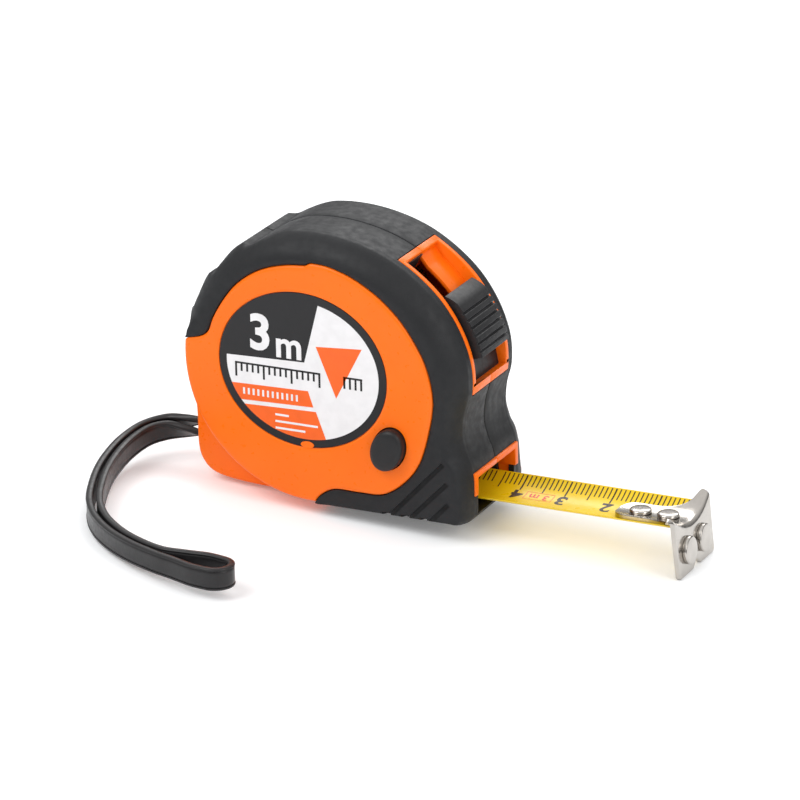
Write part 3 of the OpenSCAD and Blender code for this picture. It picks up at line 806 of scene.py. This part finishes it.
def make_label():
    rim_oval = oval(LABEL_C, LABEL_AB, LABEL_TURN, 128)
    inner = oval(LABEL_C, (LABEL_AB[0] - 1.7, LABEL_AB[1] - 1.7), LABEL_TURN, 128)
    base = round_edges(prism("label_base", rim_oval, -15.36, -15.0), 0.05)
    apply_modifiers(base)
    nub = prism("label_nub", oval((0.8, 13.75), (1.5, 0.75), 0, 32), -15.5, LABEL_BACK)
    white = flat_layer("label_white", [(-20, 31.0), (0.5, 31.6), (4.3, 46), (8, 50), (25, 50), (25, 8),
                                       (-20, 8)], -15.4, [inner])
    orange = merged("label_orange_parts", [
        flat_layer("band", [(-20, 25.0), (1.2, 25.5), (2.35, 22.1), (-20, 21.45)], -15.43, [inner]),
        flat_layer("foot", [(-20, 20.55), (2.9, 21.2), (7.9, 8), (-20, 8)], -15.43, [inner]),
        prism("arrow", [(3.2, 35.4), (13.6, 36.2), (7.6, 24.8)], -15.43, LABEL_BACK)])
    ticks = [(-15.4 + 1.27 * k, -14.95 + 1.27 * k, 29.5 - (2.9 if k % 5 == 0 else 1.7), 29.5)
             for k in range(16)]
    ticks += [(9.3 + 1.27 * k, 9.75 + 1.27 * k, 27.2, 29.4) for k in range(4)]
    dark = bars("label_marks", ticks + [(-15.4, 4.1, 29.4, 29.8), (9.3, 13.6, 29.4, 29.8)], -15.43)
    light = bars("label_lines", [(-13.7 + 1.1 * k, -13.25 + 1.1 * k, 22.9, 24.3) for k in range(12)]
                 + [(-6.4, -3.3, 19.2, 19.65), (-6.4, 3.3, 17.75, 18.2), (-6.4, 0.4, 16.3, 16.75)], -15.46)
    to_face = Matrix.Rotation(math.radians(90), 4, "X")
    three = letters("figure", "3", 10.6, Matrix.Translation((-9.5, -15.3, 36.4)) @ to_face, 0.24, 0.3)
    metre = letters("unit", "m", 8.2, Matrix.Translation((-3.0, -15.3, 34.6)) @ to_face, 0.24, 0.18)
    figure = merged("label_length", [three, metre])
    for ob, mat in ((base, DARK), (white, WHITE), (orange, LABEL_ORANGE), (dark, DARK), (light, WHITE),
                    (figure, WHITE)):
        finish_piece(ob, "case", "label_print", mat, *(("side_label",) if ob is base else ()))
    finish_piece(nub, "case", "orange_shell", ORANGE)


# ---------------------------------------------------------------- blade and hook


def cup(y, r=CUP_R):
    """Rise of the curved blade at y over its middle."""
    return r - np.sqrt(r * r - np.asarray(y, float) ** 2)


def blade_top(y):
    return BLADE_Z + BLADE_T + cup(y)


def drape(ob):
    """Bends flat marks over the curved blade, just proud of its paint and sunk a little into it."""
    bm = bmesh.new()
    bm.from_mesh(ob.data)
    for y in np.arange(-7.5, 7.6, 0.5):
        bmesh.ops.bisect_plane(bm, geom=bm.verts[:] + bm.edges[:] + bm.faces[:], plane_co=(0, y * MM, 0),
                               plane_no=(0, 1, 0))
    for v in bm.verts:
        lift = INK_LIFT if v.co.z > 0 else INK_LIFT - INK_T
        v.co.z = (float(blade_top(v.co.y / MM)) + lift) * MM
    bm.to_mesh(ob.data)
    bm.free()
    return ob


def tick(k):
    """Flat mark for k millimetres from the hook, along the far edge."""
    x, half = ZERO_X - k, 0.17 if k % 10 == 0 else 0.13
    edge = BLADE_W / 2 - 0.25
    return box("tick", (x - half, edge - (4.2 if k % 5 == 0 else 2.8), -0.5), (x + half, edge, 0.5))


def length_box():
    """The blade's length in a thin box, read from the case's side."""
    x0, x1, y0, y1, line = 41.9, 48.1, 0.1, 3.22, 0.12
    parts = [box("line", (a, b, -0.5), (c, d, 0.5)) for a, b, c, d in
             ((x0, y0, x1, y0 + line), (x0, y1 - line, x1, y1), (x0, y0 + 0.1, x0 + line, y1 - line),
              (x1 - line, y0 + 0.1, x1, y1 - line))]
    turn = Matrix.Translation((45, 1.65, 0)) @ Matrix.Rotation(math.pi, 4, "Z")
    return merged("blade_length_box", parts + [letters("length", "3 m", 2.9, turn, 1)])


def make_blade():
    ys = np.linspace(-BLADE_W / 2, BLADE_W / 2, 41)
    xs = np.r_[np.linspace(BLADE_X0, BLADE_X1 - 1, 24), BLADE_X1]
    section = [(y, blade_top(y)) for y in ys] + [(y, blade_top(y) - BLADE_T) for y in ys[::-1]]
    rings = []
    for y, z in section:
        inset = np.where(xs >= BLADE_X1, 0.93, 1.0)
        rings.append(np.stack([xs, y * inset, np.full(len(xs), float(z))], 1))
    strip = smooth(sweep("blade_strip", rings, False), 50)
    finish_piece(strip, "blade", "blade_paint", YELLOW, "blade")
    marks = [tick(k) for k in range(2, 46)]
    for k in (1, 2, 3, 4):
        turn = Matrix.Translation((ZERO_X - 10 * k, 1.6, 0)) @ Matrix.Rotation(math.pi, 4, "Z")
        marks.append(letters("number", str(k), 5.0, turn, 1.0, 0.14))
    finish_piece(drape(merged("blade_marks", marks)), "blade", "blade_paint", INK)
    finish_piece(drape(length_box()), "blade", "blade_paint", RED_INK)
    inner = drape(merged("blade_feed_marks", [tick(k) for k in range(47, 57)]))
    finish_piece(inner, None, "blade_paint", INK)
    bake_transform(inner)

    feed = []
    for x, z, r in through([(10, 5.2, 32), (15, 3.4, 24), (19, 2.6, 18), (23, 2.5, 15.5), (28, 2.5, 14.5),
                            (34.02, 2.5, 14.5)], 5):
        feed.append([(x, y, z + BLADE_T + float(cup(y, r))) for y in ys]
                    + [(x, y, z + float(cup(y, r))) for y in ys[::-1]])
    rings = np.array(feed).transpose(1, 0, 2)
    strip = smooth(sweep("blade_feed_strip", list(rings), False), 50)
    finish_piece(strip, None, "blade_paint", YELLOW, "blade_feed")
    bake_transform(strip)


def hook_half(x):
    """Half width of the hook's top plate at x."""
    return float(np.interp(x, [63.3, 63.6, 64.2, 65, 66, 71, 72.6, 74, 75.4, 76.4, 77.2, 77.8, 78.3, 78.8],
                           [1.2, 2.0, 2.85, 3.4, 3.7, 3.7, 3.95, 4.4, 5.2, 6.2, 7.3, 8.3, 9.0, 9.4]))


def lean(v):
    """The turned-down face leans a little, foot outwards."""
    w = min(1.0, max(0.0, (v[0] - 76) / 3))
    return v[0] - 0.1 * (v[2] + 0.5) * w * w * (3 - 2 * w), v[1], v[2]


def hook_sheet():
    """Top plate, bend and turned-down face as one sheet of points, thickened afterwards."""
    cols = np.array(sorted(set(np.round(np.r_[np.linspace(-1, 1, 33), -0.213, 0.213], 3))))
    mid, bend = HOOK_X + HOOK_T / 2, HOOK_BEND
    base = BLADE_Z + BLADE_T + HOOK_GAP + HOOK_T / 2
    rows = []
    for x in np.r_[63.3, 63.45, 63.7, 64.2, 64.9, np.arange(65.6, 76.2, 0.8),
                   np.arange(76.4, mid - bend, 0.35)]:
        h = hook_half(x)
        rows.append([(x, h * u, base + float(cup(h * u))) for u in cols])
    for a in np.radians([75, 60, 45, 30, 15, 0]):
        rows.append([(mid - bend + bend * math.cos(a), HOOK_HALF * u,
                      base - bend + bend * math.sin(a) + float(cup(HOOK_HALF * u))) for u in cols])
    for f in np.linspace(0, 1, 13)[1:]:
        row = []
        for u in cols:
            y = HOOK_HALF * u
            start = base - bend + float(cup(y))
            end = HOOK_Z + max(0.0, 1.6 * (1 - abs(y) / 2.0)) + max(0.0, abs(u) - 0.93) ** 2 * 110
            half = HOOK_HALF * (1 - 0.03 * f)
            row.append((mid, half * u, start + (end - start) * f))
        rows.append(row)
    n = len(cols)
    verts = [lean(v) for row in rows for v in row]
    faces = [(i * n + k, i * n + k + 1, (i + 1) * n + k + 1, (i + 1) * n + k)
             for i in range(len(rows) - 1) for k in range(n - 1)]
    hook = new_mesh("hook_sheet", verts, faces)
    mod = hook.modifiers.new("sheet", "SOLIDIFY")
    mod.thickness, mod.offset, mod.use_even_offset = HOOK_T * MM, 0, True
    round_edges(hook, 0.2, 3, 50)
    apply_modifiers(hook)
    for x in RIVET_X:
        cut(hook, lathe("slot", [(1.32, 1.5), (1.32, 6)], 36, lambda u, v, h, x=x: (x + 1.4 * u, v, h)))
    return smooth(hook, 60)


def make_hook():
    finish_piece(hook_sheet(), "hook", "hook_nickel", NICKEL, "end_hook")
    parts = []
    for x in RIVET_X:
        top = [(1.1, 3.9), (2.25, 3.9), (2.3, 3.98), (2.3, 4.3), (2.22, 4.47), (2.02, 4.6), (1.6, 4.67),
               (0.9, 4.7), (0.2, 4.7)]
        under = [(0.3, 2.1), (1.6, 2.12), (2.0, 2.2), (2.15, 2.36), (2.18, 2.6)]
        shank = [(1.18, 2.3), (1.18, 3.9)]
        for part in (top, under, shank):
            parts.append(lathe("rivet", part, 40, lambda u, v, h, x=x: (x + u, v, h)))
    rivets = smooth(merged("blade_rivet_heads", parts), 45)
    finish_piece(rivets, "blade", "hook_nickel", NICKEL, "blade_rivets")
    parts = []
    for side in (-1, 1):
        def place(u, v, h, s=side):
            return lean((h, s * MAGNET_Y + u, MAGNET_Z + v))

        disc = [(2.3, 80.2), (2.5, 80.32), (2.85, 80.36), (2.9, 80.45), (2.9, 81.1), (2.8, 81.24),
                (2.6, 81.29), (1.4, 81.3), (0.3, 81.3)]
        parts.append(lathe("magnet", disc, 44, place))
        parts.append(lathe("stud", [(2.05, 79.42), (2.1, 79.6), (2.1, 80.4)], 36, place))
    magnets = smooth(merged("hook_magnet_discs", parts), 45)
    finish_piece(magnets, "hook", "hook_nickel", NICKEL, "hook_magnets")


# ---------------------------------------------------------------- lock button, pause button, clip, linings


def make_lock():
    top = []
    for a in np.arange(LOCK_SPAN[0], LOCK_SPAN[1] + 0.01, 0.2):
        r = LOCK_R[1] - 0.35 * abs((a - 30.2) / 11.8) ** 3
        groove = min(abs(a - g) for g in (20.4, 23.1, 25.8, 28.5, 31.2, 33.9))
        r -= 0.5 * max(0.0, 1 - (groove / 0.5) ** 2)
        r -= 1.1 * max(0.0, (a - 36.5) / 5.5) ** 1.5
        top.append((LOCK_C[0] + r * math.cos(math.radians(a)), LOCK_C[1] + r * math.sin(math.radians(a))))
    outline = top + [tuple(p) for p in arc(LOCK_C, LOCK_R[0], LOCK_SPAN[1], LOCK_SPAN[0], 20)]
    button = round_edges(prism("lock_cap", outline, -6.5, 6.5), 0.3, 3, 40)
    leg = prism("leg", band(LOCK_C, 28, 34, 27, 36, 8), -6.4, -1)
    thumb = smooth(merged("lock_thumb_piece", [button, leg]), 40)
    finish_piece(thumb, "lock", "black_plastic", BLACK, "lock_button")


def make_pause():
    rings, n = [], 64
    for scale, y in ((0.86, -14.6), (1.0, -14.62), (1.0, -16.5), (0.985, -16.9), (0.94, -17.3),
                     (0.86, -17.55), (0.7, -17.72), (0.45, -17.84), (0.15, -17.9)):
        o = oval(PAUSE_C, (PAUSE_AB[0] * scale, PAUSE_AB[1] * scale), PAUSE_TURN, n)
        rings.append(np.stack([o[:, 0], np.full(n, y), o[:, 1]], 1))
    verts = np.concatenate(rings)
    m = len(rings)
    faces = [(k * n + i, (k + 1) * n + i, (k + 1) * n + (i + 1) % n, k * n + (i + 1) % n)
             for k in range(m - 1) for i in range(n)]
    cap = new_mesh("cap", verts, faces + [tuple(range(n)), tuple(range(m * n - 1, (m - 1) * n - 1, -1))])
    stem = prism("stem", oval(PAUSE_C, (1.6, 1.6), 0, 32), -14.8, -11.2)
    button = smooth(merged("pause_cap", [cap, stem]), 40)
    finish_piece(button, "pause_button", "black_plastic", BLACK, "pause_button")


def make_clip():
    """Belt clip: a bent strip with rounded ends, a hole over its screw and two pressed ribs."""
    line = [(16, z) for z in np.linspace(38, 48.9, 8)]
    line += [(18.5 - 2.5 * math.cos(a), 49 + 2.5 * math.sin(a)) for a in np.radians(range(0, 181, 12))]
    line += [tuple(p) for p in through([(21, 48.9), (21, 40), (21, 30), (20.95, 23), (20.4, 19), (19.5, 15.4),
                                       (19.6, 13.6), (20.4, 11.8), (21.2, 10.4)], 5)]
    line = resample(np.array(line), 0.6)
    d = np.r_[0, np.cumsum(np.linalg.norm(np.diff(line, axis=0), axis=1))]
    half_width, corner, n = 8, 3, 17
    rows = []
    for (y, z), s in zip(line, d):
        left = min(s, d[-1] - s, corner)
        half = half_width - corner + math.sqrt(max(0.0, corner ** 2 - (corner - left) ** 2))
        rows.append([(half * u, y, z) for u in np.linspace(-1, 1, n)])
    verts = [v for row in rows for v in row]
    faces = [(i * n + k, i * n + k + 1, (i + 1) * n + k + 1, (i + 1) * n + k)
             for i in range(len(rows) - 1) for k in range(n - 1)]
    clip = new_mesh("clip_strip", verts, faces)
    mod = clip.modifiers.new("sheet", "SOLIDIFY")
    mod.thickness, mod.offset, mod.use_even_offset = 1.0 * MM, 0, True
    apply_modifiers(clip)
    cut(clip, prism("cutter", arc((0, 44), 3.2, 0, 350, 35), 19, 23))
    round_edges(clip, 0.18, 2, 50)
    ribs = [round_edges(prism("rib", oval((x, 32), (0.9, 6.5), 0, 40), 20.8, 21.68), 0.3, 3, 30)
            for x in (-3.2, 3.2)]
    spring = smooth(merged("belt_clip_spring", [clip] + ribs), 50)
    finish_piece(spring, "case", "bright_steel", CLIP_STEEL, "belt_clip")


def make_liner():
    """Black linings of the mouth below and beside the blade; in the lock's window, a black stop that is painted
    shade on the end wall and a black floor that is partly dark lock parts, partly painted shade.
    """
    parts = [round_edges(box("floor", (18, -8.95, 1.15), (35.8, 8.95, 1.72)), 0.15)]
    for side in (-1, 1):
        lo, hi = sorted((side * 8.65, side * 9.3))
        parts.append(round_edges(box("cheek", (18, lo, 1.5), (32.5, hi, 9.8)), 0.15))
    finish_piece(smooth(merged("mouth_liner", parts), 40), "case", "black_plastic", BLACK)
    # Painted shade: the black stop at the window's end stands in for the shadow on the end wall, and the black
    # floor under the button stands partly for the lock's dark parts and partly for shade.
    parts = [prism("floor", band(LOCK_C, 30.8, 31.9, 9.3, 26.5, 16), -7.5, 7.5),
             prism("painted_shade_stop", band(LOCK_C, 29.8, 34.2, 58.6, 59.2, 6), -7.5, 0.7)]
    finish_piece(smooth(merged("window_painted_shade_liner", parts), 40), "case", "black_plastic", BLACK)


make_label()
make_blade()
make_hook()
make_lock()
make_pause()
make_clip()
make_liner()

# ---------------------------------------------------------------- materials of the CAD pieces that still show

CAD_LOOKS = {"blade_coil": YELLOW, "power_spring": SPRING, "spool": SPOOL, "spool_cover": SPOOL,
             "spool_post": ZINC, "case_screws": ZINC, "belt_clip_screw": ZINC, "strap_pin": ZINC,
             "mouth_bumper": PAD, "lock_arm": BLACK, "lock_pad": PAD, "pause_spring": SPRING, "pause_pad": PAD}
for name, look in CAD_LOOKS.items():
    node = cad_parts[name]
    node.data.materials.clear()
    node.data.materials.append(look)
    if name in ("case_screws", "belt_clip_screw", "strap_pin", "lock_arm", "mouth_bumper"):
        round_edges(node, 0.12, 2, 40)
